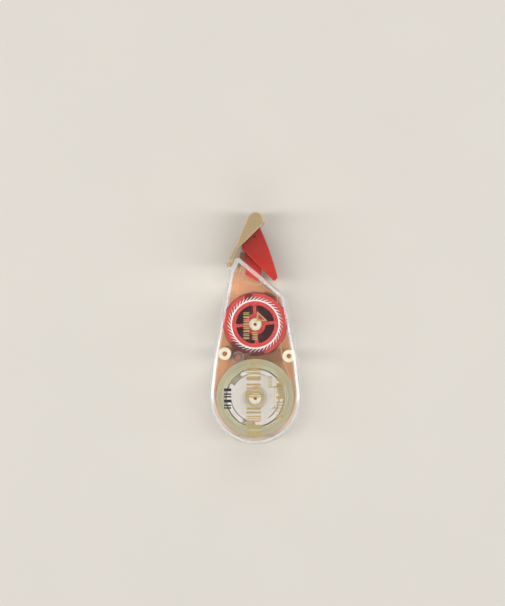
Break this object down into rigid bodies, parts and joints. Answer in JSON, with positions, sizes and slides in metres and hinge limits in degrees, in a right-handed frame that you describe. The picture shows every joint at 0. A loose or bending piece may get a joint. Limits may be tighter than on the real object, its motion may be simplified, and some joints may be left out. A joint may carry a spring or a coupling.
{
  "type": "correction tape",
  "caption": "Palm-size correction tape with a clear drop-shaped case, geared supply and take-up reels, a wedge head and a swinging tip cover.",
  "frame": {"origin": "under the middle of the whole object, on the plane that the rear case rests on", "axes": "+Y from the round end to the tip, +Z from the rear case to the clear front, +X to the right seen from the front"},
  "size_m": [0.024, 0.06, 0.013],
  "materials": {
    "case_beige": "moulded, fine texture",
    "clear_cover": "polished clear moulding",
    "post_cream": "moulded",
    "clear_part": "clear moulding",
    "cover_tan": "fine satin moulding",
    "head_red": "satin moulding",
    "tip_white": "smooth",
    "tape_cream": "wound tape edges",
    "film_clear": "thin film",
    "gear_tan": "moulded",
    "clutch_white": "smooth moulding",
    "core_cream": "moulded",
    "gear_maroon": "moulded",
    "reel_red": "moulded",
    "ratchet_white": "moulded",
    "idler_tan": "moulded",
    "rivet_brown": "moulded"
  },
  "bodies": {
    "case": {"rear_case": "case_beige", "front_case": "clear_cover", "supply_axle": "post_cream", "takeup_axle": "post_cream", "joining_posts": "post_cream", "joining_rivets": "rivet_brown", "axle_rivets": "rivet_brown", "idler_axle": "clear_part", "cover_pin": "cover_tan", "head_frame": "head_red", "transfer_tip": "tip_white", "feed_tape": "tape_cream", "return_film": "film_clear"},
    "supply_drive": {"supply_gear": "gear_tan", "clutch_disc": "clutch_white"},
    "tape_core": {"supply_core": "core_cream", "tape_roll": "tape_cream"},
    "takeup_reel": {"takeup_gear": "gear_maroon", "takeup_drum": "reel_red", "takeup_flange": "reel_red", "ratchet_ring": "ratchet_white", "used_film": "film_clear"},
    "idler": {"idler_gear": "idler_tan"},
    "pawl": {"ratchet_pawl": "clear_part"},
    "cover": {"head_cover": "cover_tan"}
  },
  "joints": [
    {"name": "supply_spin", "type": "hinge", "parent": "case", "child": "supply_drive", "pos_m": [0, -0.018, 0.003], "axis": [0, 0, 1], "continuous": true},
    {"name": "core_spin", "type": "hinge", "parent": "case", "child": "tape_core", "pos_m": [0, -0.018, 0.0065], "axis": [0, 0, 1], "continuous": true},
    {"name": "takeup_spin", "type": "hinge", "parent": "case", "child": "takeup_reel", "pos_m": [0, 0.001, 0.005], "axis": [0, 0, 1], "continuous": true},
    {"name": "idler_spin", "type": "hinge", "parent": "case", "child": "idler", "pos_m": [-0.00445, -0.00751, 0.0023], "axis": [0, 0, 1], "continuous": true},
    {"name": "pawl_lift", "type": "hinge", "parent": "case", "child": "pawl", "pos_m": [-0.00445, -0.00751, 0.0097], "axis": [0, 0, -1], "range_deg": [0, 12], "stiffness_Nm_per_rad": 0.00002},
    {"name": "cover_swing", "type": "hinge", "parent": "case", "child": "cover", "pos_m": [-0.00675, 0.01655, 0.0065], "axis": [0, 0, 1], "range_deg": [0, 170]}
  ],
  "couplings": [
    {"joint": "core_spin", "follows": "supply_spin", "ratio": 1},
    {"joint": "takeup_spin", "follows": "supply_spin", "ratio": 1.2222},
    {"joint": "idler_spin", "follows": "supply_spin", "ratio": -6.6}
  ]
}
